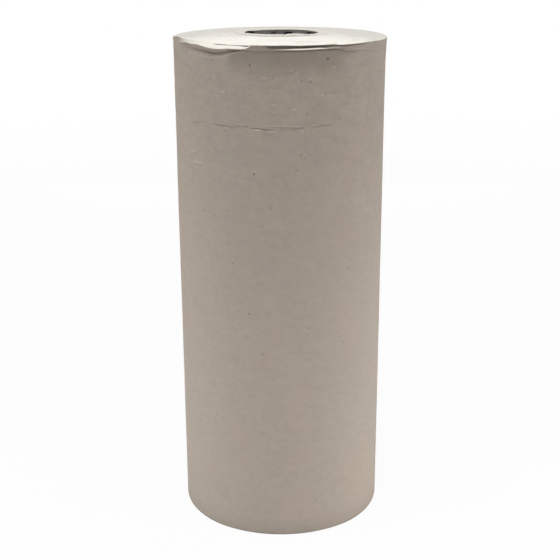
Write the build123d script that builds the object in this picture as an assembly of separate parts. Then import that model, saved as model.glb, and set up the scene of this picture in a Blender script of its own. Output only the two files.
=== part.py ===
# Newsprint paper roll, standing on one end.
# The origin is at the middle of the round outside, at the height of the surface that the roll stands on, and +Z is up.
# -Y is the side with the knocked rim and the slack outer turns. The web's loose end is behind, on the +Y side.
# Everything is in millimetres, and angles are in degrees, counted anticlockwise from +X as seen from above.
from build123d import *
import math
import os

# Overall sizes of the roll
web_width = 524.0
roll_diameter = 220.0

# The core tube, spiral-wound board
core_bore_diameter = 76.2
core_wall = 9.5
core_rise = 3.8  # how far the core has crept up, past the outer turns
core_offset = 2.0  # how far towards +X the core sits, because the web is wound slacker on the -X side
core_mouth_chamfer = 0.6

# The end faces: inner turns have crept up with the core, in bands that step down towards the rim
turns_rise = 3.1
band_edge_shares = (0.06, 0.13, 0.22, 0.29, 0.38, 0.47, 0.54, 0.62, 0.71, 0.79, 0.88)
band_rise_shares = (0.97, 1.0, 0.86, 0.90, 0.77, 0.66, 0.70, 0.52, 0.40, 0.32, 0.13, 0.0)

# The loose end of the web, straight because it has sprung off the turn below
tail_angle = 62.0
tail_thickness = 0.5
tail_spring_length = 14.0
tail_root_gap = 0.12

# The slack outer turns at the front: their edge has slipped down and leans out from the turns behind
slack_angle = -79.0
slack_half_angle = 31.0
slack_thickness = 1.1
slack_lean = 1.3
slack_drop = 3.4
slack_depth = 26.0
slack_root = 0.2  # how far inside the web's last turn the leaning surface starts

# The knocked place on the rim: edges rolled outwards into a lip, with the wall pushed in beneath it
knock_angle = -123.5
knock_drop = 4.2
knock_slope = 45.0
lip_thickness = 1.2
recess_height = 8.6
recess_depth = 2.6

cutter_overrun = 2.0

# Sizes that follow from those above
roll_radius = roll_diameter / 2
core_bore_radius = core_bore_diameter / 2
core_radius = core_bore_radius + core_wall
slack_inner_radius = roll_radius - slack_thickness


def direction(angle):
    """A level unit vector at this angle."""
    return Vector(math.cos(math.radians(angle)), math.sin(math.radians(angle)), 0)


def around(centre, radius, start, end):
    """A level arc about a centre, from one angle to another."""
    middle = (start + end) / 2
    return ThreePointArc(*(centre + direction(a) * radius for a in (start, middle, end)))


def beyond(point, normal):
    """A block that fills the side of a plane that its normal points to."""
    plane = Plane(origin=point, z_dir=normal)
    return plane * Box(roll_diameter, roll_diameter, roll_diameter, align=(Align.CENTER, Align.CENTER, Align.MIN))


def wound_outline():
    """The roll seen from above: two half circles that make one turn of a spiral, ending in the sprung tail."""
    tail = direction(tail_angle)
    centre = Vector(0, 0, 0)
    spring_turn = math.degrees(tail_spring_length / roll_radius)
    root_length = math.sqrt(2 * roll_radius * tail_root_gap)
    root_turn = math.degrees(root_length / roll_radius)
    leaves = tail_angle + spring_turn
    outward = direction(leaves)
    along = direction(leaves - 90)
    under_radius = roll_radius - tail_thickness
    last_touch = outward * roll_radius
    tip = last_touch + along * tail_spring_length
    tip_under = tip - outward * tail_thickness
    slit_end = last_touch - outward * tail_thickness + along * root_length
    second_centre = centre - tail * (tail_thickness / 2)
    edges = [
        Line(tip, last_touch),
        around(centre, roll_radius, leaves, tail_angle + 180),
        around(second_centre, roll_radius - tail_thickness / 2, tail_angle + 180, tail_angle + 360),
        around(centre, under_radius, tail_angle, leaves - root_turn),
        Line(direction(leaves - root_turn) * under_radius, slit_end),
        Line(slit_end, tip_under),
        Line(tip_under, tip),
    ]
    return make_face(Wire(edges))


def band_edge(share):
    """The circle between two bands of turns, this share of the way out from the core, and as far off centre."""
    radius = core_radius + (roll_radius - core_radius) * share
    return Pos(core_offset * (1 - share), 0) * Circle(radius)


def telescoped_turns():
    """Bands of turns as long as the web is wide, each slid up the roll by its own share, out to the last turn."""
    outlines = [band_edge(share) for share in (0, *band_edge_shares)]
    outlines.append(wound_outline())
    bands = []
    for inner, outer, rise_share in zip(outlines, outlines[1:], band_rise_shares):
        bands.append(Pos(0, 0, turns_rise * rise_share) * extrude(outer - inner, web_width))
    return bands[0].fuse(*bands[1:]).clean()


def leaning_cone(wall_radius, top):
    """A cone that leans out past a wall of this radius towards the slack place, and is just inside it elsewhere."""
    foot = web_width - slack_depth
    reach = (top - foot) / slack_depth
    swing = math.cos(math.radians(slack_half_angle))
    shift = slack_lean / (1 - swing) * reach
    low = Plane(origin=(0, 0, foot)) * Circle(wall_radius - tail_thickness - slack_root)
    top_centre = direction(slack_angle) * shift + Vector(0, 0, top)
    high = Plane(origin=top_centre) * Circle(wall_radius - shift * swing)
    return loft([low, high], ruled=True)


def inner_turns():
    """The turns behind the slack ones, as a plain cylinder that its cutters leave alone."""
    base = Align.MIN
    height = web_width + turns_rise + cutter_overrun
    return Cylinder(slack_inner_radius, height, align=(Align.CENTER, Align.CENTER, base))


def slacken(paper):
    """Leans the outer turns out at the front, opens the gap behind them and lowers their edge."""
    kept = inner_turns()
    paper += leaning_cone(roll_radius, web_width) - kept
    paper -= leaning_cone(slack_inner_radius, web_width + cutter_overrun) - kept
    lowest = direction(slack_angle) * (roll_radius + slack_lean) + Vector(0, 0, web_width - slack_drop)
    hinge = direction(slack_angle) * (roll_radius * math.cos(math.radians(slack_half_angle))) + Vector(0, 0, web_width)
    across = direction(slack_angle + 90)
    upward = across.cross(hinge - lowest)
    if upward.Z < 0:
        upward = -upward
    return paper - (beyond(lowest, upward) - kept)


def knock(paper):
    """Bevels the rim at the knocked place, and sinks the wall below the lip that this leaves."""
    outward = direction(knock_angle)
    slope = math.radians(knock_slope)
    bevel_normal = outward * math.sin(slope) + Vector(0, 0, math.cos(slope))
    bevel_point = outward * roll_radius + Vector(0, 0, web_width - knock_drop)
    paper -= beyond(bevel_point, bevel_normal)
    recess_foot = bevel_point - Vector(0, 0, recess_height)
    recess_normal = outward * recess_height + Vector(0, 0, recess_depth)
    recess = beyond(recess_foot, recess_normal) - beyond(bevel_point - bevel_normal * lip_thickness, bevel_normal)
    return paper - recess


def make_paper_turns():
    """The wound newsprint, all its turns as one solid."""
    return knock(slacken(telescoped_turns()))


def make_core_tube():
    """The board tube that the paper is wound on, as long as the web is wide."""
    tube = Cylinder(core_radius, web_width, align=(Align.CENTER, Align.CENTER, Align.MIN))
    tube -= Cylinder(core_bore_radius, web_width, align=(Align.CENTER, Align.CENTER, Align.MIN))
    bore_edges = tube.edges().filter_by(GeomType.CIRCLE).filter_by(lambda e: e.radius < core_radius)
    tube = chamfer(bore_edges, core_mouth_chamfer)
    return Pos(core_offset, 0, core_rise) * tube


os.makedirs("parts", exist_ok=True)
export_step(make_core_tube(), "parts/core_tube.step")
export_step(make_paper_turns(), "parts/paper_turns.step")
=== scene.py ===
import math
import bmesh
import bpy
import numpy as np
from mathutils import Matrix, Vector


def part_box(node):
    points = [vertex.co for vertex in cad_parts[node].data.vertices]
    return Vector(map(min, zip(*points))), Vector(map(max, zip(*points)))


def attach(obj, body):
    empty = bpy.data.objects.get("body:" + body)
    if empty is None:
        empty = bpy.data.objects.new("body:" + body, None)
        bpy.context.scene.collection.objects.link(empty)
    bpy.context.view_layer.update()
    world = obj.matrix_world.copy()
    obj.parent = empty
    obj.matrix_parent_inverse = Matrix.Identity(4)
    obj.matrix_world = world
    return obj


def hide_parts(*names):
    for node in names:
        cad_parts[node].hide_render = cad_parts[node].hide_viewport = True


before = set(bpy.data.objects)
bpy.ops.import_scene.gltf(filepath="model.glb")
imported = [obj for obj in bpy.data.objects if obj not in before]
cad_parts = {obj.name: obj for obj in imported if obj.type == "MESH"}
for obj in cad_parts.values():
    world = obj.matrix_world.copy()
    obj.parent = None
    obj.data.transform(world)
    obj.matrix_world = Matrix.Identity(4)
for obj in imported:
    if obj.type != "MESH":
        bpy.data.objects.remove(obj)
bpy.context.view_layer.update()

mm = 0.001
scene = bpy.context.scene
scene.view_settings.view_transform = "Standard"

# the roll's own sizes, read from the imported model, and then in mm, as the meshes are worked out
paperLow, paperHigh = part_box("paper_turns")
coreLow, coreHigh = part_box("core_tube")
rollRadius = -paperLow.x
coreOffset = (coreHigh.x + coreLow.x) / 2
webWidth = coreHigh.z - coreLow.z
rim, inner, web = rollRadius / mm, (coreHigh.x - coreLow.x) / 2 / mm, webWidth / mm
coreAside, coreRise, turnsRise = coreOffset / mm, coreLow.z / mm, (paperHigh.z - webWidth) / mm
print("roll", round(rim, 1), "core", round(inner, 1), "web", round(web, 1), "rise", round(turnsRise, 1))


# a socket that takes part in plain sums, from either side of the sign
class Val:
    def __init__(self, nodes, socket):
        self.nodes, self.socket = nodes, socket

    def maths(self, operation, first, second):
        return self.nodes.node("ShaderNodeMath", {"operation": operation}, {0: first, 1: second})

    def __add__(self, other): return self.maths("ADD", self, other)
    def __radd__(self, other): return self.maths("ADD", other, self)
    def __sub__(self, other): return self.maths("SUBTRACT", self, other)
    def __rsub__(self, other): return self.maths("SUBTRACT", other, self)
    def __mul__(self, other): return self.maths("MULTIPLY", self, other)
    def __rmul__(self, other): return self.maths("MULTIPLY", other, self)
    def __truediv__(self, other): return self.maths("DIVIDE", self, other)
    def __rtruediv__(self, other): return self.maths("DIVIDE", other, self)
    def __pow__(self, other): return self.maths("POWER", self, other)
    def __rpow__(self, other): return self.maths("POWER", other, self)


# a node tree: node() adds any node, with its settings first and then its sockets' values or links
class Nodes:
    def __init__(self, tree):
        self.tree = tree

    def node(self, kind, settings=None, inputs=None, output=0):
        made = self.tree.nodes.new(kind)
        for key, value in (settings or {}).items():
            setattr(made, key, value)
        for key, value in (inputs or {}).items():
            self.feed(made.inputs[key], value)
        return Val(self, made.outputs[output])      # output by number or name

    def feed(self, socket, value):
        if isinstance(value, Val):
            self.tree.links.new(value.socket, socket)
        else:
            socket.default_value = (*value, 1) if socket.type == "RGBA" else value

    def position(self):
        return self.node("ShaderNodeTexCoord", output="Object")

    def split(self, vector):
        parts = self.node("ShaderNodeSeparateXYZ", None, {0: vector}).socket.node.outputs
        return [Val(self, part) for part in parts]

    def vector(self, x, y, z):
        return self.node("ShaderNodeCombineXYZ", None, {0: x, 1: y, 2: z})

    def scaled(self, vector, across, up):
        return self.node("ShaderNodeVectorMath", {"operation": "MULTIPLY"}, {0: vector, 1: (across, across, up)})

    def noise(self, vector, detail, rough):
        inputs = {"Vector": vector, "Scale": 1.0, "Detail": detail, "Roughness": rough}
        return self.node("ShaderNodeTexNoise", None, inputs)

    def band(self, value, low, high, outLow=0.0, outHigh=1.0):
        # a soft step from outLow at low to outHigh at high; low may be the larger of the two
        ends = {"Value": value, "From Min": low, "From Max": high, "To Min": outLow, "To Max": outHigh}
        return self.node("ShaderNodeMapRange", {"interpolation_type": "SMOOTHSTEP"}, ends)

    def mix(self, factor, first, second):
        return self.node("ShaderNodeMix", {"data_type": "RGBA"}, {0: factor, 6: first, 7: second}, 2)

    def over(self, colour, value, low, high, share, tint):
        # lays a tint over the colour, from nothing where the value is low to its share where it is high
        return self.mix(self.band(value, low, high, 0.0, share), colour, tint)


class Paint(Nodes):
    def __init__(self, name):
        self.material = bpy.data.materials.new(name)
        self.material.use_nodes = True
        super().__init__(self.material.node_tree)
        self.shader = self.tree.nodes["Principled BSDF"]

    def set(self, **values):
        for key, value in values.items():
            self.feed(self.shader.inputs[key.replace("_", " ")], value)

    def bump(self, height, distance, strength):
        inputs = {"Height": height, "Distance": distance, "Strength": strength}
        self.set(Normal=self.node("ShaderNodeBump", None, inputs))


def srgb(*levels):
    # a colour as it reads on screen, turned into linear numbers
    return tuple(((v / 255 + 0.055) / 1.055) ** 2.4 for v in levels)


def smooth(low, high, x):
    t = np.clip((x - low) / (high - low), 0, 1)
    return t * t * (3 - 2 * t)


def along(angle, pairs):
    # a smooth curve through (angle, value) pairs that doesn't overshoot, held level past its ends
    stops, values = np.array(pairs, float).T
    run = np.diff(stops)
    rise = np.diff(values) / run
    slope = np.zeros(len(stops))
    product = rise[:-1] * rise[1:]
    slope[1:-1] = np.where(product > 0, 2 * product / np.where(product > 0, rise[:-1] + rise[1:], 1), 0)
    i = np.clip(np.searchsorted(stops, angle) - 1, 0, len(stops) - 2)
    t = np.clip((angle - stops[i]) / run[i], 0, 1)
    start = values[i] * (2 * t ** 3 - 3 * t ** 2 + 1) + slope[i] * run[i] * (t ** 3 - 2 * t ** 2 + t)
    return start + values[i + 1] * (3 * t ** 2 - 2 * t ** 3) + slope[i + 1] * run[i] * (t ** 3 - t ** 2)


def clouds(turn, level, columns, rows, seed):
    # soft random hills from -1 to 1 that close up round the roll
    grid = np.random.default_rng(seed).uniform(-1, 1, (rows + 2, columns))
    u, v = (turn % 1) * columns, np.clip(level, 0, 1) * rows
    iu, iv = np.floor(u).astype(int), np.floor(v).astype(int)
    fu, fv = smooth(0, 1, u - iu), smooth(0, 1, v - iv)
    a, b = grid[iv, iu % columns], grid[iv, (iu + 1) % columns]
    c, d = grid[iv + 1, iu % columns], grid[iv + 1, (iu + 1) % columns]
    return (a * (1 - fu) + b * fu) * (1 - fv) + (c * (1 - fu) + d * fu) * fv


def waves(turn, level, hills):
    # clouds added up: each has its height, its columns and rows, and its seed
    return sum(height * clouds(turn, level, *grid) for height, *grid in hills)


def quads(grid):
    return np.stack([grid[:-1, :-1], grid[:-1, 1:], grid[1:, 1:], grid[1:, :-1]], -1).reshape(-1, 4)


def finishMesh(name, points, faces, paints, finish, sharp):
    # finish says which of the paints each face has, and edges over sharp degrees show as sharp
    mesh = bpy.data.meshes.new(name)
    mesh.from_pydata(points.reshape(-1, 3).tolist(), [], faces.tolist())
    for paint in paints:
        mesh.materials.append(paint.material)
    mesh.polygons.foreach_set("material_index", np.asarray(finish, np.int32))
    mesh.polygons.foreach_set("use_smooth", np.ones(len(mesh.polygons), bool))
    shape = bmesh.new()
    shape.from_mesh(mesh)
    bmesh.ops.recalc_face_normals(shape, faces=shape.faces)      # every face looks outwards
    shape.to_mesh(mesh)
    shape.free()
    mesh.set_sharp_from_angle(angle=math.radians(sharp))
    made = bpy.data.objects.new(name, mesh)
    scene.collection.objects.link(made)
    return made


def ringMesh(name, points, finish, paints, sharp):
    # rows of points that each close into a ring, and close up again from the last row to the first
    rows, columns = points.shape[:2]
    grid = np.pad(np.arange(rows * columns).reshape(rows, columns), (0, 1), mode="wrap")
    return finishMesh(name, points, quads(grid), paints, finish.reshape(-1), sharp)


def sheetMesh(name, front, back, paint, sharp):
    # a closed sheet between two grids of points
    rows, columns = front.shape[:2]
    a = np.arange(rows * columns).reshape(rows, columns)
    b = a + rows * columns
    borders = (a[0], b[0]), (b[-1], a[-1]), (b[:, 0], a[:, 0]), (a[:, -1], b[:, -1])
    faces = np.concatenate([quads(a), quads(b)[:, ::-1], *(quads(np.stack(border, 1)) for border in borders)])
    return finishMesh(name, np.stack([front, back]), faces, [paint], np.zeros(len(faces)), sharp)


def turned(radius, angle, height, shift=0.0):
    # radii, angles and heights as points; shift moves them sideways, as the core lies off the middle
    return np.stack(np.broadcast_arrays(radius * np.cos(angle) + shift, radius * np.sin(angle), height), -1)


def stacked(rows, angle):
    # rows of (radius, height, finish) as three grids
    return (np.array([np.broadcast_to(row[part], angle.shape) for row in rows]) for part in range(3))


# the wound paper: angles in degrees round the roll, with -90 at the front, and other sizes in mm
paperLook = {
    "frontStep": 0.72, "backStep": 3.0,      # degrees between columns of the mesh
    "sharp": 38,      # degrees from which an edge shows as sharp
    # rows up the wall: from, to and how far apart, close together where it is creased or knocked
    "wallRows": ((2, 340, 9.0), (340, 436, 2.4), (436, 441, 1.0), (441, 451, 0.42), (451, 505, 1.0),
                 (505, 523.4, 0.45)),
    # rings across the end faces: how many, how far from the rim and from a band's step, and the step's half width
    "footRings": 12, "topRings": 30, "ringRim": 6.5, "ringClear": 0.8, "stepHalf": 0.2,
    "tailAngle": 62.0, "tailWrap": 38.0, "turnStep": 0.5,      # where the web ends, and the step left there
    # bands of turns that have crept up: shares of the way out, and of the rise
    "bandEdges": (0.06, 0.13, 0.22, 0.29, 0.38, 0.47, 0.54, 0.62, 0.71, 0.79, 0.88),
    "bandRises": (0.97, 1.0, 0.86, 0.90, 0.77, 0.66, 0.70, 0.52, 0.40, 0.32, 0.13, 0.0),
    "bandWobble": 0.5, "bandRamp": 0.16,
    # the foot's rounded edge, as inset and height, and how much of the inset there is round the roll
    "footRound": ((2.4, 0.0), (1.3, 0.2), (0.55, 0.75), (0.1, 1.7)),
    "footShare": ((-180, 0.35), (-135, 0.35), (-110, 1.0), (-70, 1.0), (-45, 0.35), (180, 0.35)),
    # how far the outer turns stand above the rest of the rim
    "rimLift": ((-180, 0.3), (-169, 0.9), (-164.6, 1.6), (-158, 1.4), (-148.5, 1.6), (-142.7, 1.0), (-137.5, 0.6),
                (-128, 0.5), (-122, 0.6), (-116, 0.45), (-108, 0.6), (-106, 0.7), (-103, 1.2), (-88, 1.3), (-80, 0.9),
                (-68, 0.9), (-63.6, 1.1), (-58.7, 0.15), (-53.6, -0.15), (-45, -0.15), (-38.7, -0.05), (-33, 0.1),
                (-27, -0.4), (-22, -0.5), (-15.5, -0.85), (-5, -0.7), (20, -0.2), (60, 0.0), (179, 0.2)),
    "rimTurns": (14, 4),      # how far in from the rim they start to rise, and stand full
    "rimRound": 0.25,      # how far its outer edge is rounded down
    # how much the outermost turns have eased outwards, and how they spread at the top
    "ease": ((-180, 0.45), (-90, 0.55), (0, 0.7), (90, 0.55), (180, 0.45)),
    "flare": ((-180, 0.35), (-150, 0.2), (-125, 0.6), (-112, 1.9), (-100, 2.9), (-75, 2.9), (-62, 1.8), (-48, 0.9),
              (-15, 0.9), (20, 0.8), (60, 0.4), (110, 0.2), (180, 0.35)),
    "flareHeight": 30.0, "flareBend": 1.8,
    "topFollows": (40, 3),      # below the web's edge, where the wall starts to follow the rim and follows it fully
    # uneven winding, as waves: height, columns and rows round the wall, seed
    "swells": ((0.22, 7, 5, 1), (0.10, 19, 14, 2)),
    "wrinkles": ((1.0, 38, 110, 3), (0.6, 70, 190, 4)),
    "wrinkleDepth": 0.03, "topWrinkleDepth": 0.12, "topWrinkles": (0.55, 0.97),

    # the knocked place on the rim: the flap's edge pressed down, and the wall pushed in below it
    "knock": {
        "edgeDrop": ((-176, 0), (-169, 1.5), (-164.6, 3.0), (-158, 3.3), (-152.9, 2.8), (-148.5, 1.8), (-142.7, 1.8),
                     (-137.5, 1.3), (-132.2, 2.6), (-127.3, 3.6), (-123.5, 3.95), (-119.9, 3.55), (-116.4, 3.0),
                     (-113, 3.0), (-109.8, 3.0), (-106.8, 2.5), (-105.0, 1.2), (-103.6, 0)),
        "flare": ((-150, 0), (-138, 0.4), (-127, 0.9), (-118, 0.9), (-110, 0.7), (-104, 0)),
        "flareReach": (7, 0.5),      # from and to, below the flap's edge
        "foot": ((-166, 3.5), (-158, 5.0), (-153, 5.8), (-148.1, 7.4), (-146.6, 8.6), (-143.1, 10.6), (-137.8, 11.6),
                 (-132.4, 12.1), (-127.5, 12.8), (-123.7, 12.8), (-120, 12.0), (-116.5, 10.6), (-113.1, 8.2),
                 (-109.8, 6.0), (-106.7, 5.0), (-104, 4.0)),
        "depth": ((-166, 0), (-158, 0.8), (-153, 1.1), (-148, 1.8), (-142.8, 2.8), (-137.6, 3.5), (-132, 3.9),
                  (-127, 4.0), (-120, 3.6), (-116.4, 3.3), (-113, 2.8), (-109.8, 1.6), (-106.7, 0.7), (-104, 0)),
        # below the foot the paper swells out before it turns in
        "swell": ((-158, 0), (-148, 0.7), (-140, 1.0), (-125, 1.3), (-116, 1.2), (-110, 0.6), (-105, 0)),
        "swellHeight": 9.0,
        "lip": 0.5,      # height of the lip that hangs over the hollow
        "underLip": 0.1,      # share of the depth that is left right under the lip
        # share of the way up from the foot where the paper is folded in
        "fold": ((-158, 0.65), (-147, 0.62), (-142, 0.58), (-137.5, 0.52), (-132, 0.49), (-124, 0.48), (-120, 0.58),
                 (-116.4, 0.68), (-110, 0.74)),
        "flapWidth": 1.05, "flapLeast": 1.4,      # width of the flap for each mm that it drops, and its least width
        "flapRound": 0.4,
        "flapRows": (0.0, 0.15, 0.3, 0.45, 0.6, 0.75, 0.87, 1.0),
        # height of the step that the flap leaves behind it, and where the step takes the side's darker paint, as
        # painted shade along it
        "riser": ((-136, 0.6), (-127.5, 0.2), (-125, 0.9), (-120, 0.85), (-117.5, 0.5), (-111, 0.65), (-109, 1.0),
                  (-106.5, 1.4), (-104.6, 0.9), (-103.4, 0.3)),
        "riserMost": 0.6,      # share of the drop
        "riserShade": (-128, -103),
        "showsEdges": 0.8,      # where the flap drops by more, its edge shows the turns' white edges
    },

    # the slack outer turns beside it: how open the gap is, how far they have slipped, and the line of their edge
    "slack": {
        "open": ((-100, 0), (-97, 0.6), (-94, 1), (-45, 1), (-40, 0.6), (-36, 0)),
        "slip": ((-101, 0.6), (-97, 1.2), (-94, 1.7), (-91.6, 2.3), (-88, 2.5), (-78.7, 2.65), (-73.6, 2.35),
                 (-67, 2.2), (-63.6, 1.7), (-60, 1.7), (-54, 1.9), (-46, 1.5), (-40, 1.1), (-36, 0.8)),
        "line": ((-112, 521.3), (-107, 521.2), (-98, 521.3), (-91.6, 521.7), (-78.7, 521.6), (-73.6, 521.9),
                 (-63.8, 522.2), (-60, 522.0), (-58, 521.2), (-54.8, 519.6), (-51.5, 519.0), (-48, 519.6),
                 (-44.3, 519.2), (-40, 518.3), (-35.5, 517.6), (-26, 517.4), (-16, 516.7), (-8, 516.5)),
        "lineHeight": ((-114, 0), (-109, 0.8), (-104, 0.9), (-60, 1.1), (-56, 1.2), (-50, 1.2), (-44, 0.8),
                       (-36, 0.4), (-12, 0.2), (-6, 0)),
        "lineTaper": ((-64, 0.5), (-58, 1.2), (-48, 1.6), (-40, 1.2), (-30, 0.5)),      # how far it slopes back above
        "lineReach": (2.3, 0.9),      # and below the line
        "shoulder": ((-107, 0), (-104, 1.0), (-97, 1.1), (-93, 0.5), (-90, 0)), "shoulderHeight": 4.5,
        "lipWidth": ((-94, 0.05), (-90, 0.12), (-87.5, 0.25), (-85, 0.5), (-82.6, 0.75), (-71, 0.75), (-67, 0.3),
                     (-64, 0.2), (-38, 0.15)),
        "litLip": ((-93, 0), (-92, 1), (-60, 1), (-59, 0)),      # where the lip shows the paper's white edges
        # a fold line under the lip
        "groove": ((-114, 0), (-109, 0.9), (-104, 0.6), (-98, 0.2), (-93, 0.4), (-89, 1.1), (-62, 1.1), (-56, 0.9),
                   (-50, 0.8), (-44, 0.5), (-30, 0.3), (-14, 0)),
        "grooveAt": 1.8, "grooveHalf": 0.8,
        "gap": ((-99, 0.1), (-92, 0.5), (-70, 0.6), (-64, 0.3), (-58, 0.2), (-48, 0.15), (-36, 0.1)),
        "lean": 0.6, "leanHeight": 26.0, "leanBend": 1.4,
        "lipSlope": 1.2,      # how much the lip's edge slopes up inwards for each mm of its width
        "lipDepth": 0.9, "gapDepth": 5.0,
        # how far the body is cut back under its edge for each mm of the gap, and how far down this starts and ends
        "undercut": 2.8, "undercutAt": (2.4, 1.9, 0.8),
    },

    # lines pressed into the wall: from and to as (angle, height), the depth, and how far it tapers above and below
    # a short taper below catches the light, and a short one above goes dark
    "creases": (
        ((-144, 445.6), (-132, 448.4), 0.22, 0.6, 2.5),
        ((-127, 447.4), (-113, 445.4), 0.55, 0.7, 1.0),
        ((-120, 444.8), (-114, 444.2), 0.30, 2.0, 0.8),
        ((-114, 447.8), (-106, 447.6), 0.45, 0.6, 1.4),
        ((-105, 445.6), (-92, 444.2), 0.75, 1.2, 0.9),
        ((-98, 447.2), (-78, 446.4), 0.34, 0.7, 1.2),
        ((-90, 444.0), (-82, 444.8), 0.30, 1.6, 0.8),
        ((-84, 444.6), (-78, 446.2), 0.45, 1.3, 0.7),
        ((-76, 448.4), (-68, 447.8), 0.40, 1.6, 0.7),
        ((-74, 447.2), (-61, 448.2), 0.50, 0.6, 1.4),
        ((-93, 443.4), (-82, 436.0), 0.30, 0.8, 2.0),
        ((-62, 454.6), (-57, 454.2), 0.30, 0.7, 2.0),
        ((-146, 407.2), (-134, 404.4), 0.60, 2.6, 1.3),
        ((-147, 415.0), (-139, 416.8), 0.35, 2.2, 1.3),
        ((-131, 487.6), (-124, 494.4), 0.50, 2.4, 1.2),
        ((-124, 475.0), (-118, 483.8), 0.35, 2.4, 1.2),
        ((-117, 393.0), (-109, 393.4), 0.45, 2.6, 1.3),
        ((-89, 380.6), (-74, 380.2), 0.35, 2.4, 1.2),
        ((-62, 359.6), (-57, 358.4), 0.45, 2.4, 1.4),
        ((-88, 497.0), (-80, 501.4), 0.15, 2.2, 1.1),
        ((-94, 494.6), (-84, 498.4), 0.12, 1.2, 2.0),
        # short wrinkles, most of them above the long crease
        ((-143, 444.7), (-134, 447.8), 0.30, 1.6, 1.0),
        ((-96, 455.0), (-91, 461.8), 0.40, 1.4, 1.4),
        ((-123, 484.9), (-118, 485.4), 0.30, 1.4, 2.2),
        ((-119, 476.4), (-113, 477.2), 0.30, 1.4, 2.2),
        ((-112, 468.5), (-106, 469.2), 0.35, 1.4, 2.0),
        ((-119, 464.8), (-115, 465.6), 0.25, 1.4, 1.8),
        ((-87, 499.5), (-82, 499.8), 0.35, 1.3, 2.0),
        ((-81, 492.0), (-77, 491.8), 0.30, 1.3, 2.0),
        ((-77, 490.8), (-72, 490.1), 0.35, 1.3, 2.0),
        ((-64, 486.9), (-56, 485.8), 0.30, 1.4, 2.0),
        ((-73, 481.4), (-66, 479.1), 0.35, 1.4, 2.0),
        ((-67, 478.9), (-61, 479.0), 0.30, 1.4, 2.0),
        ((-80, 468.6), (-74, 468.3), 0.30, 1.4, 1.8),
        ((-107, 491.4), (-103, 495.4), 0.30, 1.6, 1.6),
        ((-100, 491.2), (-94, 491.5), 0.30, 1.3, 2.0),
        # ridges that stand out beside the long crease, and one under the flap
        ((-105.5, 443.6), (-93, 442.0), -0.32, 0.6, 2.2),
        ((-85, 448.5), (-77.5, 448.3), -0.26, 0.6, 1.4),
        ((-73.6, 449.2), (-68, 449.4), -0.26, 0.6, 1.4),
        ((-124.5, 444.8), (-117.5, 444.0), -0.22, 0.6, 1.6),
        ((-114.6, 449.4), (-109.4, 449.2), -0.22, 0.6, 1.4),
        ((-81, 443.2), (-77.6, 443.2), -0.28, 0.6, 1.4),
        ((-120, 511.6), (-111.5, 517.4), -0.3, 1.2, 1.4),
    ),
    "creaseShare": 1.9, "creaseFade": (-0.05, 0.2),      # how deep they all are, and how they fade at both ends
}
knock, slack = paperLook["knock"], paperLook["slack"]
onSide, onEnd = 0, 1      # the paper's two finishes, as its faces count them


def spiralRadius(degrees):
    # the last turn's radius: it falls by one step on its way round to the loose end
    back = (paperLook["tailAngle"] - degrees) % 360
    wrap = paperLook["tailWrap"]
    share = np.where(back < 360 - wrap, back / (360 - wrap), (360 - back) / wrap)
    return rim - paperLook["turnStep"] * (1 - share)


def bandLift(radius, degrees):
    # how far the turns at this radius have crept up, in steps with a short ramp
    rises, ramp = paperLook["bandRises"], paperLook["bandRamp"]
    lift = np.full(np.broadcast(radius, degrees).shape, rises[0])
    for i, edge in enumerate(paperLook["bandEdges"]):
        wobble = paperLook["bandWobble"] * clouds(degrees / 360, 0 * degrees, 9 + i, 1, 40 + i)
        lift = lift + (rises[i + 1] - rises[i]) * smooth(-ramp, ramp, radius - inner - (rim - inner) * edge - wobble)
    return turnsRise * lift


def creaseDepth(degrees, height):
    # how far the creases press the wall in
    total = np.zeros(height.shape)
    arc = rim * math.radians(1)
    for (startAngle, startHeight), (endAngle, endHeight), depth, above, below in paperLook["creases"]:
        ax, ay, bx, by = startAngle * arc, startHeight, endAngle * arc, endHeight
        length = math.hypot(bx - ax, by - ay)
        ux, uy = (bx - ax) / length, (by - ay) / length
        px, py = degrees * arc - ax, height - ay
        t, off = (px * ux + py * uy) / length, px * -uy + py * ux
        fade = smooth(*paperLook["creaseFade"], t) * smooth(*paperLook["creaseFade"], 1 - t)
        total = total + depth * fade * np.clip(1 - np.abs(off) / np.where(off > 0, above, below), 0, 1)
    return paperLook["creaseShare"] * total


def rimEdge(degrees):
    # the height of the rim's outer edge against the web's edge
    return along(degrees, paperLook["rimLift"]) - along(degrees, knock["edgeDrop"])


def hollow(degrees, height):
    # the wall pushed in under the flap
    foot = web - along(degrees, knock["foot"])
    top = web + rimEdge(degrees) - knock["lip"]
    way = np.clip((height - foot) / np.maximum(top - foot, 0.5), 0, 1)
    fold, depth = along(degrees, knock["fold"]), along(degrees, knock["depth"])
    swell = along(degrees, knock["swell"]) * smooth(-knock["swellHeight"], 0, height - foot)
    above = depth * (1 - (1 - knock["underLip"]) * np.clip((way - fold) / (1 - fold), 0, 1))
    pushed = np.where(way < fold, (depth + swell) * smooth(0, fold, way) - swell, above)
    return np.where(height < top, pushed, 0)


def foldLine(degrees, height):
    # what the edge of the slack turns' fold adds, with the groove under it and the shoulder above it
    under = along(degrees, slack["line"]) - height
    above = np.clip(1 + under / along(degrees, slack["lineTaper"]), 0, 1)
    ridge = along(degrees, slack["lineHeight"]) * np.where(under > 0, smooth(*slack["lineReach"], under), above)
    groove = np.clip(1 - np.abs(under - slack["grooveAt"]) / slack["grooveHalf"], 0, 1)
    shoulder = smooth(0, slack["shoulderHeight"], -under)
    return ridge - along(degrees, slack["groove"]) * groove - along(degrees, slack["shoulder"]) * shoulder


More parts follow.
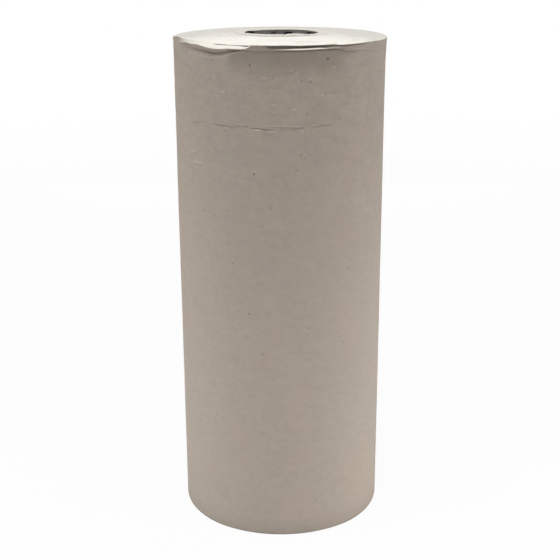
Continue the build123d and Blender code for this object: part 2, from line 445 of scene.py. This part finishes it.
def wallRadius(degrees, height):
    # the outside of the last turn
    turn, level, below = degrees / 360, height / web, web - height
    flare = np.clip(1 - below / paperLook["flareHeight"], 0, 1) ** paperLook["flareBend"]
    lean = slack["lean"] * np.clip(1 - below / slack["leanHeight"], 0, 1) ** slack["leanBend"]
    radius = spiralRadius(degrees) + along(degrees, paperLook["ease"])
    radius = radius + along(degrees, paperLook["flare"]) * flare + along(degrees, slack["open"]) * lean
    radius = radius + along(degrees, knock["flare"]) * smooth(*knock["flareReach"], below + rimEdge(degrees))
    radius = radius + foldLine(degrees, height) - hollow(degrees, height) - creaseDepth(degrees, height)
    wrinkle = waves(turn, level, paperLook["wrinkles"])
    creased = smooth(*paperLook["topWrinkles"], level) * (0.6 + 0.4 * clouds(turn, level, 11, 9, 5))
    wrinkle = wrinkle * (paperLook["wrinkleDepth"] + paperLook["topWrinkleDepth"] * creased)
    return radius + waves(turn, level, paperLook["swells"]) + wrinkle


def endRings(count):
    # radii across an end face, with a close pair at each band's step
    look = paperLook
    edges = [inner + (rim - inner) * edge for edge in look["bandEdges"]]
    steps = [edge + way * look["stepHalf"] for edge in edges for way in (-1, 1)]
    even = np.linspace(inner, rim - look["ringRim"], count)
    return sorted(steps + [r for r in even if min(abs(r - step) for step in steps) > look["ringClear"]])


def rimRows(degrees, outer):
    # the rim, from its outer edge inwards: a flap with a riser behind it where it is knocked,
    # and a lip, a gap and the body's own edge where the turns are slack
    edge, lift = rimEdge(degrees), along(degrees, paperLook["rimLift"])
    drop = lift - edge
    flap = np.maximum(knock["flapLeast"], drop * knock["flapWidth"] + knock["flapRound"])
    riser = np.minimum(along(degrees, knock["riser"]), knock["riserMost"] * drop)
    # the riser takes the side's darker paint over this span, as painted shade along the step
    shadeFrom, shadeTo = knock["riserShade"]
    riserFinish = np.where((degrees > shadeFrom) & (degrees < shadeTo), onSide, onEnd)
    lit = along(degrees, slack["litLip"]) > 0.5
    edgeFinish = np.where(lit | (drop > knock["showsEdges"]), onEnd, onSide)
    tight = [(outer - 0.05, web + edge - paperLook["rimRound"], edgeFinish)]
    for share in knock["flapRows"]:
        radius = outer - knock["flapRound"] - (flap - knock["flapRound"]) * share
        height = web + lift - riser - (drop - riser) * (1 - share)
        tight.append((radius, height, riserFinish if share == 1 else onEnd))
    tight += [(outer - flap - 0.12, web + lift, onEnd), (outer - flap - 0.8, web + lift, onEnd)]

    lip, gap = along(degrees, slack["lipWidth"]), along(degrees, slack["gap"])
    lipEdge = web - along(degrees, slack["slip"])
    gapFloor = lipEdge - slack["gapDepth"]
    inside = outer - np.maximum(lip + 0.2, along(degrees, slack["groove"]) + 0.5)
    within = np.minimum(inside, wallRadius(degrees, gapFloor) - 0.4)
    body = inside - gap
    under = body - slack["undercut"] * gap
    cutLow, cutDeep, cutTop = (web - below for below in slack["undercutAt"])
    lipRound = lipEdge - paperLook["rimRound"]
    loose = [
        (outer, lipRound, edgeFinish),
        (outer - lip, lipRound + slack["lipSlope"] * lip, np.where(lit, onEnd, onSide)),
        (inside, lipEdge - slack["lipDepth"], onSide),
        (within, gapFloor, onSide),
        (within - gap - 0.1, gapFloor, onSide),
        (body, cutLow, onSide),
        (under, cutDeep, onSide),
        (under, cutTop, onSide),
        (body + 0.4 * gap, web + lift - 0.1, onEnd),
        (body, web + lift, onEnd),
        (body - 1.5, web + lift, onEnd),
    ]
    opened = along(degrees, slack["open"])
    rows = []
    for (radius, height, finish), (looseRadius, looseHeight, looseFinish) in zip(tight, loose):
        rows.append((
            radius * (1 - opened) + looseRadius * opened,
            height * (1 - opened) + looseHeight * opened,
            np.where(opened > 0.05, looseFinish, finish),
        ))
    return rows


def buildPaper(paints):
    front = np.arange(-178, -2, paperLook["frontStep"])
    back = np.arange(-2, 182, paperLook["backStep"])
    angle = np.radians(np.concatenate([front, back]))
    degrees = np.where(np.degrees(angle) > 180, np.degrees(angle) - 360, np.degrees(angle))

    # the bottom, from the core outwards, and the foot's rounded edge
    rows = [(r, bandLift(r, degrees), onEnd) for r in endRings(paperLook["footRings"])]
    foot, footShare = wallRadius(degrees, 0 * degrees), along(degrees, paperLook["footShare"])
    rows += [(foot - inset * footShare, height, onSide) for inset, height in paperLook["footRound"]]

    # up the wall, whose top follows the edge down where it is knocked or slack
    opened, lift = along(degrees, slack["open"]), along(degrees, paperLook["rimLift"])
    shift = rimEdge(degrees) * (1 - opened) - along(degrees, slack["slip"]) * opened
    followsFrom, followsFully = paperLook["topFollows"]
    for low, high, step in paperLook["wallRows"]:
        for z in np.arange(low, high, step):
            height = z + shift * smooth(web - followsFrom, web - followsFully, z)
            rows.append((wallRadius(degrees, height), height, onSide))
    rows += rimRows(degrees, rows[-1][0])

    # the top, from the rim to the core, and down the inside against the core
    risesFrom, risesFully = paperLook["rimTurns"]
    for r in endRings(paperLook["topRings"])[::-1]:
        rows.append((r, web + bandLift(r, degrees) + lift * smooth(rim - risesFrom, rim - risesFully, r), onEnd))
    rows += [(inner, web * share, onEnd) for share in (0.67, 0.33)]

    radii, heights, finish = stacked(rows, angle)
    aside = coreAside * np.clip((rim - radii) / (rim - inner), 0, 1)
    return ringMesh("woundPaper", turned(radii, angle, heights, aside) * mm, finish, paints, paperLook["sharp"])


# the wall's finish: newsprint with its fibres and mottle, with painted shade along the foot and on the front just
# under the rim
sideLook = {
    # scale across and up, detail and roughness
    "noises": {
        "slow": (14, 9, 2, 0.5),
        "blotches": (75, 105, 3, 0.55),
        "ripples": (34, 115, 2, 0.5),
        "formation": (160, 210, 2, 0.4),
        "fibres": (230, 800, 3, 0.55),
        "pinkish": (28, 20, 2, 0.5),
        "grain": (900, 900, 3, 0.6),
    },
    "base": srgb(164, 154, 144),
    # colours laid over it: where the noise starts and is full, how strongly, if weaker lower down, and the colour
    "layers": {
        "slow": (0.3, 0.7, 1.0, False, srgb(168, 156, 144)),
        "blotches": (0.35, 0.7, 0.36, True, srgb(147, 138, 128)),
        "ripples": (0.42, 0.66, 0.2, True, srgb(148, 139, 129)),
        "formation": (0.3, 0.7, 0.28, False, srgb(177, 166, 155)),
        "fibres": (0.42, 0.3, 0.45, True, srgb(143, 132, 120)),
        "pinkish": (0.5, 0.72, 0.3, False, srgb(172, 152, 143)),
    },
    "upper": (0.55, 0.95, 0.4, 1.0),      # from and to, as shares of the web, and how strong there
    "specks": (55, 60), "speckSize": (0.06, 0.035), "speckShare": 0.45, "speck": srgb(105, 95, 84),
    # painted shade on the front of the wall just under the rim's edge, in shares of the roll's radius and of the web
    "rimShade": srgb(126, 117, 107), "rimShadeShare": 0.5, "rimShadeUneven": 0.03,
    "rimShadeFront": (-0.75, -0.9), "rimShadeSide": (-0.5, -0.4), "rimShadeTop": (0.93, 0.985),
    # painted shade at the foot: a slight darkening over its lowest 24 mm, and a dark contact line at its very edge
    "footShade": srgb(98, 92, 84), "footShadeBands": ((24, 1, 0.13), (2.4, 0.6, 0.72)),      # mm from and to, and share
    "rough": (0.86, 0.96), "specular": 0.25,
    "bump": 0.05, "bumpShare": 0.35, "fibreBump": 0.8,

    "spotEdge": 1.3,      # where the flecks and the pale marks end, against their size
    # dark flecks in the paper: angle, height, and size across and up
    "fleck": srgb(70, 62, 52), "fleckShare": 0.55, "fleckCore": 0.3,
    "flecks": (
        (-104.9, 506.6, 0.7, 2.2), (-65.7, 511.7, 1.8, 1.3), (-93.4, 494.7, 0.7, 0.7), (-78.9, 491.5, 0.9, 0.7),
        (-74.3, 490.2, 0.8, 1.0), (-76.3, 459.7, 0.8, 0.9), (-79.3, 419.9, 0.9, 0.9), (-77.2, 416.8, 0.8, 0.7),
        (-103.5, 401.0, 1.3, 1.3), (-135.0, 357.5, 0.9, 0.9), (-117.8, 361.3, 0.8, 0.8), (-94.8, 367.3, 0.8, 0.8),
        (-99.6, 348.6, 0.8, 0.8), (-116.0, 307.3, 0.9, 0.8), (-107.2, 254.5, 1.0, 0.9), (-74.7, 239.3, 0.9, 0.9),
        (-99.7, 210.7, 0.9, 0.8), (-85.6, 214.4, 0.8, 0.8), (-53.6, 217.0, 0.9, 0.9), (-145.8, 137.0, 0.9, 0.9),
        (-70.1, 39.1, 1.0, 0.9), (58.0, 430.0, 1.2, 1.0), (131.0, 300.0, 1.0, 1.0), (92.0, 120.0, 0.9, 1.1),
        (20.0, 260.0, 1.1, 0.9),
    ),
    # pale marks, most of them painted highlights along the creases and wrinkles, the rest rubbed places: angle,
    # height, size across and up, and how pale
    "highlightAndScuff": srgb(208, 198, 186), "highlightAndScuffShare": 0.8,
    "highlightsAndScuffs": (
        (-101.4, 444.4, 4.8, 0.7, 0.80), (-94.0, 443.3, 4.2, 0.7, 0.50), (-81.2, 447.9, 5.8, 0.6, 0.50),
        (-71.5, 448.1, 4.4, 0.6, 0.60), (-118.1, 445.0, 4.7, 0.7, 0.50), (-109.9, 448.4, 3.9, 0.6, 0.45),
        (-79.1, 443.0, 1.6, 0.8, 0.60), (-126.0, 494.0, 2.6, 1.8, 0.35), (-120.3, 479.8, 3.6, 1.8, 0.35),
        (-124.1, 475.7, 3.8, 0.7, 0.30), (-98.2, 494.4, 3.7, 0.8, 0.35), (-83.0, 464.3, 2.1, 1.2, 0.45),
        (-93.0, 469.2, 4.2, 0.8, 0.30), (-84.4, 500.9, 1.6, 0.8, 0.40), (-81.9, 499.4, 2.1, 1.0, 0.35),
        (-72.9, 498.1, 2.2, 0.9, 0.40), (-61.8, 502.9, 2.4, 1.2, 0.40), (-68.3, 477.3, 2.2, 1.4, 0.35),
        (-63.7, 475.9, 2.9, 0.9, 0.30), (-74.5, 492.6, 2.2, 1.0, 0.30), (-139.6, 406.1, 8.5, 0.9, 0.50),
        (-143.5, 415.6, 5.0, 0.7, 0.40), (-126.6, 421.5, 2.4, 0.7, 0.25), (-112.3, 393.5, 6.8, 0.8, 0.28),
        (-90.0, 448.5, 25.0, 0.7, 0.20), (-103.2, 403.8, 1.0, 1.2, 0.40), (70.0, 470.0, 4.0, 0.8, 0.35),
        (120.0, 410.0, 3.0, 1.2, 0.35), (20.0, 480.0, 3.6, 0.8, 0.35), (150.0, 240.0, 2.4, 1.0, 0.30),
    ),
}


def paintSide():
    look, p = sideLook, Paint("newsprintSide")
    place = p.position()
    x, y, z = p.split(place)
    noises = {name: p.noise(p.scaled(place, across, up), detail, rough)
              for name, (across, up, detail, rough) in look["noises"].items()}
    upper = p.band(z / webWidth, *look["upper"])
    colour = look["base"]
    for name, (low, high, share, weaker, tint) in look["layers"].items():
        colour = p.over(colour, noises[name], low, high, upper * share if weaker else share, tint)
    cells = {"Vector": p.scaled(place, *look["specks"]), "Scale": 1.0}
    specks = p.node("ShaderNodeTexVoronoi", None, cells, "Distance")
    colour = p.over(colour, specks, *look["speckSize"], look["speckShare"], look["speck"])
    # painted shade: the front of the wall just under the rim's edge is darkened, as the shade under the flared rim
    rimShaded = p.band(y / rollRadius, *look["rimShadeFront"]) * p.band(x / rollRadius, *look["rimShadeSide"])
    rimShaded = p.band(z / webWidth + (noises["slow"] - 0.5) * look["rimShadeUneven"], *look["rimShadeTop"]) * rimShaded
    colour = p.mix(rimShaded * look["rimShadeShare"], colour, look["rimShade"])
    # painted shade along the foot, where the roll meets the floor
    for high, low, share in look["footShadeBands"]:
        colour = p.over(colour, z, high * mm, low * mm, share, look["footShade"])

    around = p.node("ShaderNodeMath", {"operation": "ARCTAN2"}, {0: y, 1: x}) * rollRadius

    def spot(angle, height, wide, tall, share, core=0.0):
        across, up = (around - math.radians(angle) * rollRadius) / (wide * mm), (z - height * mm) / (tall * mm)
        return p.band(across * across + up * up, core, look["spotEdge"], share, 0.0)

    # pale marks: painted highlights along the creases and wrinkles, and rubbed places
    pale = sum(spot(*highlightAndScuff) for highlightAndScuff in look["highlightsAndScuffs"])
    dark = sum(spot(*fleck, look["fleckShare"], look["fleckCore"]) for fleck in look["flecks"])
    colour = p.mix(pale * look["highlightAndScuffShare"], colour, look["highlightAndScuff"])
    colour = p.mix(dark, colour, look["fleck"])
    p.set(Base_Color=colour, Roughness=p.band(noises["formation"], 0.3, 0.7, *look["rough"]))
    p.set(Specular_IOR_Level=look["specular"])
    p.bump(noises["grain"] + noises["fibres"] * look["fibreBump"], look["bump"] * mm, look["bumpShare"])
    return p


# the end faces' finish: the white edges of the turns, with painted shade greying them towards the back, and darker at
# the left of the rim's outer edge
endLook = {
    # scale across and along the turns, detail and roughness
    "noises": {"fine": (2600, 3, 3, 0.6), "wide": (420, 14, 3, 0.55), "streaks": (120, 26, 2, 0.5)},
    "base": srgb(246, 242, 233),
    # colours laid over it: where the noise starts and is full, how strongly, and the colour
    "layers": {
        "wide": (0.35, 0.65, 1.0, srgb(253, 250, 243)),
        "fine": (0.3, 0.7, 0.5, srgb(240, 235, 225)),
        "streaks": (0.52, 0.66, 0.38, srgb(218, 210, 197)),
    },
    "middle": 0.6,      # share of the core's offset that the turns run round
    # painted shade: the end faces are greyer towards the back, made uneven by a noise
    "backShade": srgb(206, 204, 196), "backShadeShare": 0.72, "backShadeScale": 9, "backShadeUneven": 0.8,
    "clean": (0.05, 1.1), "cleanBend": 0.4,      # from back to front, and how far it bends back at the sides
    # darker at the left of the rim's outer edge, in shares of the roll's radius
    "darkLeftRim": srgb(152, 143, 132), "darkLeftRimShare": 0.95,
    "darkLeftRimSide": (-0.80, -0.95), "darkLeftRimFront": (0.0, -0.15), "darkLeftRimTurns": (0.964, 0.974),
    "rough": (0.85, 0.97), "specular": 0.2,
    "bump": 0.12, "bumpShare": 0.6,
}


def paintEnds():
    look, p = endLook, Paint("newsprintEdges")
    place = p.position()
    x, y = p.split(place)[:2]
    away = x - coreOffset * look["middle"]
    radius = (away * away + y * y) ** 0.5
    noises = {name: p.noise(p.vector(radius * across, x * around, y * around), detail, rough)
              for name, (across, around, detail, rough) in look["noises"].items()}
    colour = look["base"]
    for name, (low, high, share, tint) in look["layers"].items():
        colour = p.over(colour, noises[name], low, high, share, tint)
    # painted shade, greyer towards the back of the end faces and bending back at the sides
    backShadeNoise = p.noise(p.scaled(place, look["backShadeScale"], look["backShadeScale"]), 3, 0.5)
    front = (0.0 - y) / rollRadius - x * x / rollRadius ** 2 * look["cleanBend"]
    clean = p.band(front + backShadeNoise * look["backShadeUneven"], *look["clean"])
    colour = p.mix((1.0 - clean) * look["backShadeShare"], colour, look["backShade"])
    # darker at the left of the rim's outer edge
    darkLeftRim = p.band(x / rollRadius, *look["darkLeftRimSide"]) * p.band(y / rollRadius, *look["darkLeftRimFront"])
    darkLeftRim = p.band(radius / rollRadius, *look["darkLeftRimTurns"]) * darkLeftRim
    colour = p.mix(darkLeftRim * look["darkLeftRimShare"], colour, look["darkLeftRim"])
    p.set(Base_Color=colour, Roughness=p.band(noises["wide"], 0.3, 0.7, *look["rough"]))
    p.set(Specular_IOR_Level=look["specular"])
    p.bump(noises["fine"] + noises["wide"], look["bump"] * mm, look["bumpShare"])
    return p


sidePaint, endPaint = paintSide(), paintEnds()
woundPaper = buildPaper([sidePaint, endPaint])
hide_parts("paper_turns")
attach(woundPaper, "root")
print("paper", len(woundPaper.data.polygons) * 2, "triangles")

# the loose end of the last turn, at the back
looseEndLook = {
    "thickness": 0.3,
    "below": 0.5,      # how far its corners stay inside the web's edges
    "sunk": 0.2, "proud": 0.05,      # where it leaves the turns, and past that
    "sunkOver": (0.12, 0.0),      # shares of the way along it, as in the next ones
    "spring": 1.0, "springOver": (0.62, 1.05), "springBend": 1.3, "springWaves": ((0.35, 1, 5, 23),),
    "ripple": ((0.12, 5, 26, 24),), "rippleOver": (0.3, 1.0),
    "ragged": ((0.5, 1, 60, 21), (0.25, 1, 14, 22)),      # as waves, in degrees
    "columns": 44, "rows": 90, "sharp": 38,
}


def buildLooseEnd(paint):
    look = looseEndLook
    heights = np.linspace(look["below"], web - look["below"], look["rows"])
    share, z = np.meshgrid(np.linspace(0, 1, look["columns"]), heights)
    level, start = z / web, paperLook["tailAngle"] + paperLook["tailWrap"]
    degrees = start - share * (paperLook["tailWrap"] + waves(0 * z, level, look["ragged"]))
    spring = look["spring"] * (1 + waves(0 * z, level, look["springWaves"]))
    spring = spring * smooth(*look["springOver"], share) ** look["springBend"]
    ripple = waves(degrees / 8, level, look["ripple"]) * smooth(*look["rippleOver"], share)
    outside = rim + along(degrees, paperLook["ease"]) + waves(degrees / 360, level, paperLook["swells"])
    outside = outside + look["proud"] - look["sunk"] * smooth(*look["sunkOver"], share) + spring + ripple
    angle = np.radians(degrees)
    front, back = (turned(radius, angle, z) * mm for radius in (outside, outside - look["thickness"]))
    return sheetMesh("looseEnd", front, back, paint, look["sharp"])


looseEnd = buildLooseEnd(sidePaint)
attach(looseEnd, "root")
print("loose end", len(looseEnd.data.polygons) * 2, "triangles")

# the core tube: its mouth stands a little higher at the front, and its inner ply has come loose and rumpled there
coreLook = {
    "bore": 38.1, "columns": 480, "boreRows": 9,
    "sharp": 30, "plySharp": 45,      # degrees from which an edge shows as sharp
    # how far the mouth stands above the rest, and how much wider it is, by angle round the core
    "mouth": ((-180, 0.2), (-165, 0.2), (-150, 0.6), (-125, 0.9), (-100, 0.9), (-88, 1.1), (-86, 0.5), (-84.5, 0.5),
              (-82.5, 1.4), (-73, 1.6), (-60, 1.2), (-50, 0.3), (-30, -0.1), (0, -0.3), (40, -0.3), (90, -0.4),
              (140, -0.2), (160, 0.3), (180, 0.2)),
    "wider": ((-180, 0.2), (-165, 0.3), (-140, 0), (140, 0), (165, 0.3), (180, 0.2)), "widerFrom": 6.0,
    "edge": 0.5,      # how far the edges of both mouths are broken
    # how far down the bore its grey top reaches, above the bore's painted shade
    "grey": ((-180, 0.5), (-160, 1.6), (40, 1.6), (60, 2.2), (128, 2.2), (140, 0.9), (148, 0.4), (172, 0.4),
             (180, 0.5)),
    # the plies' edges: distance from the bore, and rise
    "plies": ((0.0, -0.5), (0.5, 0.0), (1.7, 0.05), (1.9, -0.12), (3.3, -0.1), (3.5, 0.12), (5.2, 0.1), (5.4, -0.1),
              (7.0, -0.08), (7.2, 0.1), (8.6, 0.05), (9.2, -0.15), (9.45, -0.6)),
    # the wall, how far its outside lies under the turns, and how uneven the plies are above, and how marked below
    "wall": 9.5, "sunk": 0.3, "plyWobble": 0.1, "footPlies": 0.6,
    "plyThickness": 0.5,
    # how far the loose ply's edge lies below the mouth, by angle round the core, and how far it stands off the bore
    "plyEdge": ((-180, 1.2), (-150, 0.6), (-120, 2.0), (-95, 0.5), (-70, 1.4), (-40, 0.6), (-10, 1.5), (14, 2.0),
                (24, 3.4), (33, 4.6), (40, 4.4), (44, 2.6), (47, 1.4), (52, 0.3), (62, 0.2), (68, 0.5), (71.5, 3.5),
                (74, 6.2), (81, 6.2), (84.5, 3.4), (88, 2.2), (96, 1.9), (101, 3.4), (106.5, 3.2), (109.5, 1.2),
                (116, 0.3), (127, 0.5), (134, 0.4), (140, 1.6), (146, 4.0), (153, 5.0), (168, 4.4), (180, 2.4)),
    "plyBulge": ((-180, 0.8), (-130, 1.4), (-100, 0.7), (-60, 1.5), (-20, 0.8), (20, 0.6), (48, 0.7), (62, 2.4),
                 (76, 0.8), (84, 0.5), (97, 1.7), (104, 0.8), (120, 2.3), (138, 1.2), (150, 0.5), (180, 0.8)),
    "plyOff": 0.35, "plyWaves": ((0.12, 17, 9, 73),),
    "plyDown": 0.25, "plyRagged": ((0.2, 60, 1, 71),),
    # depths between which it comes to stand off, how much of that is left at its edge, and how far that reaches
    "plyBulges": (34, 5), "plyPinch": 0.55, "plyPinched": (0, 4),
    "plyDepths": (0, 0.4, 0.9, 1.5, 2.2, 3, 4, 5.5, 7.5, 10, 14, 20, 30, 50, 90, 160, 250, 340, 430, 500),
    # noises: scale across, up or along, detail and roughness
    "fibres": (500, 500, 4, 0.6), "patches": (90, 60, 3, 0.5), "plyLines": (1500, 5, 2, 0.5),
    # finishes: the board, a second tone of it, and its lines
    "boards": {
        "coreBoard": (srgb(236, 233, 226), srgb(226, 222, 213), srgb(190, 185, 174)),
        # painted shade: the bore is painted near black, as the shade deep in the tube and in the gaps behind the loose
        # ply
        "coreBoreShade": (srgb(34, 32, 29), srgb(26, 25, 22), srgb(20, 19, 17)),
        "coreInnerPly": (srgb(140, 138, 131), srgb(124, 122, 115), srgb(98, 96, 89)),
    },
    "specular": 0.25, "rough": (0.82, 0.95),
    "bump": 0.1, "bumpShare": 0.6,
}
onBoard, onBoreShade, onPly = 0, 1, 2      # the core's finishes, as its faces count them


def coreAngles():
    angle = np.linspace(-math.pi, math.pi, coreLook["columns"], endpoint=False)
    return angle, np.degrees(angle)


def buildCore(paints):
    look = coreLook
    angle, degrees = coreAngles()
    bore, mouth = look["bore"], web + coreRise + along(degrees, look["mouth"])
    wider, grey = along(degrees, look["wider"]), along(degrees, look["grey"])
    greyFrom = mouth - look["edge"] - grey
    # up the bore, painted near black as its shade, then the grey top
    rows = [(bore, z, onBoreShade) for z in np.linspace(coreRise + look["edge"], web - look["widerFrom"], look["boreRows"])]
    rows += [(bore + wider, web - look["edge"], onBoreShade), (bore + wider, greyFrom - 0.05, onBoreShade)]
    rows.append((bore + wider, greyFrom, onPly))
    for out, rise in look["plies"]:
        wobble = look["plyWobble"] * clouds(degrees / 360, 0 * degrees, 21, 1, 60 + int(out * 10))
        rows.append((bore + out + wider * (1 - out / look["wall"]), mouth + rise + wobble, onBoard))
    rows += [(inner - look["sunk"], z, onBoard) for z in (web - 1.0, coreRise + 0.8)]
    rows += [(bore + out, coreRise - rise * look["footPlies"], onBoard) for out, rise in look["plies"][::-1]]
    radii, heights, finish = stacked(rows, angle)
    return ringMesh("coreTube", turned(radii, angle, heights, coreAside) * mm, finish, paints, look["sharp"])


def buildLoosePly(paint):
    look = coreLook
    angle, degrees = coreAngles()
    edge = web + coreRise + along(degrees, look["mouth"]) - along(degrees, look["plyEdge"])
    edge = edge - look["plyDown"] - waves(degrees / 360, 0 * degrees, look["plyRagged"])
    bulge, wider = along(degrees, look["plyBulge"]), along(degrees, look["wider"])
    longest, pinch = look["plyDepths"][-1], look["plyPinch"]
    inside, outside = [], []
    for depth in look["plyDepths"]:
        z = edge - depth * (edge - coreRise - 1) / longest
        swell = bulge * smooth(*look["plyBulges"], depth) * (pinch + (1 - pinch) * smooth(*look["plyPinched"], depth))
        swell = look["plyOff"] + swell + waves(degrees / 360, 0 * degrees + depth / longest, look["plyWaves"])
        radius = look["bore"] + wider * smooth(6, 4, depth) - swell
        inside.append((radius - look["plyThickness"], z, 0))
        outside.append((radius, z, 0))
    radii, heights, finish = stacked(inside + outside[::-1], angle)
    return ringMesh("coreInnerPly", turned(radii, angle, heights, coreAside) * mm, finish, [paint], look["plySharp"])


def paintBoard(name):
    look, p = coreLook, Paint(name)
    base, tone, lines = look["boards"][name]
    place = p.position()
    x, y, z = p.split(place)
    away = x - coreOffset
    radius = (away * away + y * y) ** 0.5
    fibres, patches = (p.noise(p.scaled(place, across, up), detail, rough)
                       for across, up, detail, rough in (look["fibres"], look["patches"]))
    across, run, detail, rough = look["plyLines"]
    plies = p.noise(p.vector(radius * across, x * run, z * run), detail, rough)
    colour = p.over(base, patches, 0.3, 0.7, 1.0, tone)
    colour = p.over(colour, plies, 0.52, 0.62, 0.5, lines)
    colour = p.over(colour, fibres, 0.5, 0.35, 0.35, lines)
    p.set(Base_Color=colour, Roughness=p.band(fibres, 0.3, 0.7, *look["rough"]))
    p.set(Specular_IOR_Level=look["specular"])
    p.bump(fibres + plies * 0.5, look["bump"] * mm, look["bumpShare"])
    return p


corePaints = [paintBoard(name) for name in coreLook["boards"]]
coreTube = buildCore(corePaints)
innerPly = buildLoosePly(corePaints[onPly])
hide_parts("core_tube")
for piece in (coreTube, innerPly):
    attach(piece, "root")
print("core", len(coreTube.data.polygons) * 2, "and its inner ply", len(innerPly.data.polygons) * 2, "triangles")

# camera, as the photo was taken: places in roll diameters, angles in degrees, focus and width in pixels
photo = {
    "back": 5.256, "up": 2.866, "side": -0.0028,
    "down": 17.90, "tilt": -0.239,
    "focus": 1089.5, "width": 560, "sensor": 36.0,
}


def addCamera():
    data = bpy.data.cameras.new("camera")
    data.sensor_width = photo["sensor"]
    data.lens = photo["sensor"] * photo["focus"] / photo["width"]
    data.clip_start = 0.01
    camera = bpy.data.objects.new("camera", data)
    scene.collection.objects.link(camera)
    down, tilt = math.radians(90 - photo["down"]), math.radians(photo["tilt"])
    place = Vector((photo["side"], -photo["back"], photo["up"])) * 2 * rollRadius
    camera.matrix_world = Matrix.Translation(place) @ Matrix.Rotation(down, 4, "X") @ Matrix.Rotation(tilt, 4, "Z")
    scene.camera = camera


# floor, lamps and world
studio = {
    "floor": srgb(247, 247, 246), "floorRough": 0.9, "floorSpecular": 0.1,
    "floorSize": 30.0,
    # how white the camera sees the floor beside the roll and far off, and how far away each is
    "whiteNear": 0.94, "whiteFar": 1.0, "near": 0.4, "far": 3.0,
    "world": 0.12,
    "lamps": {
        "top": {"at": (0.0, -0.25, 1.7), "size": (1.5, 1.5), "power": 9.7, "aim": (0, 0, 0.5)},
        "front": {"at": (0.0, -1.3, 2.4), "size": (1.2, 1.0), "power": 9.0, "aim": (0, 0, 0.4)},
        "left": {"at": (-1.3, -0.8, 2.0), "size": (1.0, 1.0), "power": 13.2, "aim": (0, 0, 0.4)},
        "right": {"at": (1.6, -0.5, 1.3), "size": (1.2, 1.2), "power": 6.0, "aim": (0, 0, 0.5)},
        "back": {"at": (0.0, 1.5, 0.6), "size": (1.2, 1.2), "power": 3.0, "aim": (0, 0, 0.25)},
        "leftEdge": {"at": (-1.2, 0.5, 0.45), "size": (0.6, 0.8), "power": 1.9, "aim": (0, 0, 0.25)},
        "rightEdge": {"at": (1.2, 0.5, 0.45), "size": (0.6, 0.8), "power": 1.9, "aim": (0, 0, 0.25)},
        "leftFoot": {"at": (-0.6, -0.2, 0.03), "size": (0.7, 0.05), "power": 1.15, "aim": (0, 0, 0.08)},
        "rightFoot": {"at": (0.6, -0.2, 0.03), "size": (0.7, 0.05), "power": 1.6, "aim": (0, 0, 0.08)},
        "frontFoot": {"at": (0.0, -0.5, 0.03), "size": (1.0, 0.05), "power": 0.3, "aim": (0, 0, 0.08)},
    },
}


def seenDirectly(p):
    # 1 for rays from the camera and for what gloss or glass shows, 0 for the light that the roll gets
    rays = ("Is Camera Ray", "Is Glossy Ray", "Is Transmission Ray")
    seen = sum(p.node("ShaderNodeLightPath", output=ray) for ray in rays)
    return p.node("ShaderNodeMath", {"operation": "MINIMUM"}, {0: seen, 1: 1.0})


def addFloor():
    half = studio["floorSize"] / 2
    mesh = bpy.data.meshes.new("floor")
    mesh.from_pydata([(-half, -half, 0), (half, -half, 0), (half, half, 0), (-half, half, 0)], [], [(0, 1, 2, 3)])
    floor = bpy.data.objects.new("floor", mesh)
    scene.collection.objects.link(floor)
    p = Paint("floor")
    p.set(Base_Color=studio["floor"], Roughness=studio["floorRough"], Specular_IOR_Level=studio["floorSpecular"])
    x, y = p.split(p.position())[:2]
    away = (x * x + y * y) ** 0.5
    white = p.node("ShaderNodeEmission", None, {"Color": (1.0, 1.0, 1.0), "Strength": 1.0})
    share = seenDirectly(p) * p.band(away, studio["near"], studio["far"], studio["whiteNear"], studio["whiteFar"])
    both = p.node("ShaderNodeMixShader", None, {0: share, 1: Val(p, p.shader.outputs[0]), 2: white})
    p.feed(p.tree.nodes["Material Output"].inputs[0], both)
    mesh.materials.append(p.material)


def addLamp(name, look):
    lamp = bpy.data.lights.new(name, "AREA")
    lamp.shape = "RECTANGLE"
    lamp.size, lamp.size_y = look["size"]
    lamp.energy = look["power"]
    made = bpy.data.objects.new(name, lamp)
    made.location = look["at"]
    made.rotation_euler = (Vector(look["aim"]) - made.location).to_track_quat("-Z", "Y").to_euler()
    made.visible_camera = False
    scene.collection.objects.link(made)


def addWorld():
    world = bpy.data.worlds.new("studio")
    world.use_nodes = True
    scene.world = world
    p = Nodes(world.node_tree)
    light = p.node("ShaderNodeBackground", None, {"Color": (1.0, 1.0, 1.0), "Strength": studio["world"]})
    white = p.node("ShaderNodeBackground", None, {"Color": (1.0, 1.0, 1.0), "Strength": 1.0})
    both = p.node("ShaderNodeMixShader", None, {0: seenDirectly(p), 1: light, 2: white})
    p.feed(p.tree.nodes["World Output"].inputs[0], both)


addCamera()
addFloor()
for lampName, lampLook in studio["lamps"].items():
    addLamp(lampName, lampLook)
addWorld()
print("studio set")
